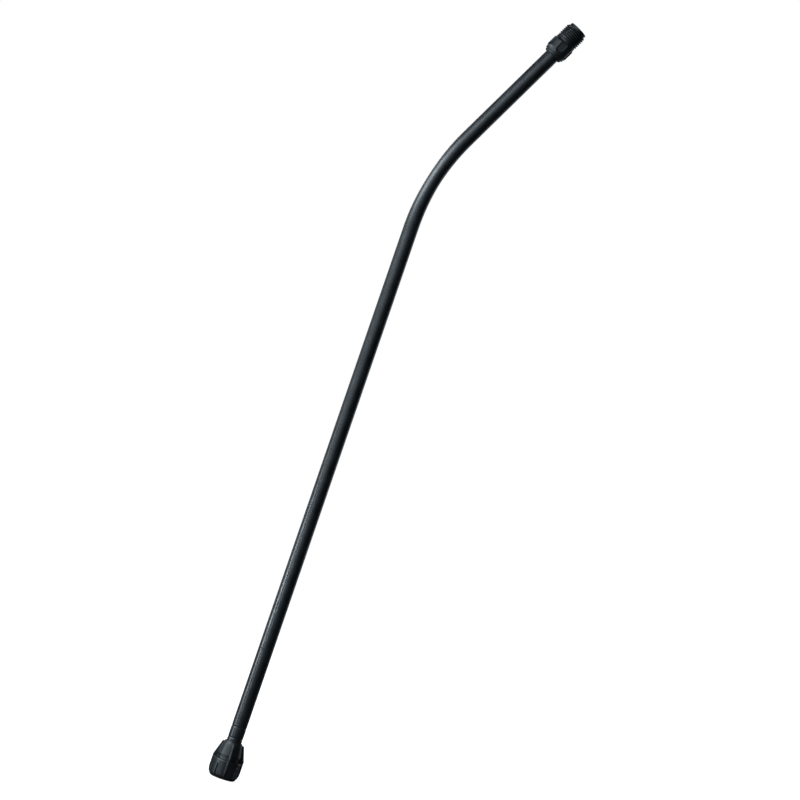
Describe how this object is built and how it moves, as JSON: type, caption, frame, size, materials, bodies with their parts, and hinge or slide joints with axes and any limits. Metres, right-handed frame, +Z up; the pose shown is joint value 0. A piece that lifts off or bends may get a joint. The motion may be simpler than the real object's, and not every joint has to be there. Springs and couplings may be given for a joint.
{
  "type": "sprayer wand",
  "caption": "Bent plastic spray wand with a captive finned union nut at the tail and a threaded, ribbed nozzle adapter at the tip.",
  "frame": {"origin": "on the tube's axis, in the plane of the union nut's mouth, where the wand meets the shut-off valve", "axes": "+Z up the straight part of the tube towards the nozzle end, +X the way the tube bends, +Y at right angles to the bend's plane"},
  "size_m": [0.1001, 0.0272, 0.6978],
  "materials": {
    "tube_plastic": "semi-matte black, fine moulded grain",
    "moulded_plastic": "semi-matte black, moulded",
    "ferrule_plastic": "smooth dark grey, machined look",
    "slip_plastic": "natural acetal, waxy",
    "seal_rubber": "black nitrile, dull",
    "spring_steel": "stainless spring steel"
  },
  "bodies": {
    "wand": {"wand_tube": "tube_plastic", "tail_ferrule": "ferrule_plastic", "nose_o_ring": "seal_rubber", "nozzle_adapter": "moulded_plastic", "adapter_o_ring": "seal_rubber", "adapter_grip_ring": "spring_steel"},
    "slip_washer": {"slip_washer": "slip_plastic"},
    "union_nut": {"union_nut": "moulded_plastic"}
  },
  "joints": [
    {"name": "nut_slide", "type": "slide", "parent": "wand", "child": "slip_washer", "axis": [0, 0, 1], "range_m": [0, 0.44]},
    {"name": "nut_spin", "type": "hinge", "parent": "slip_washer", "child": "union_nut", "pos_m": [0, 0, 0], "axis": [0, 0, 1], "continuous": true}
  ]
}
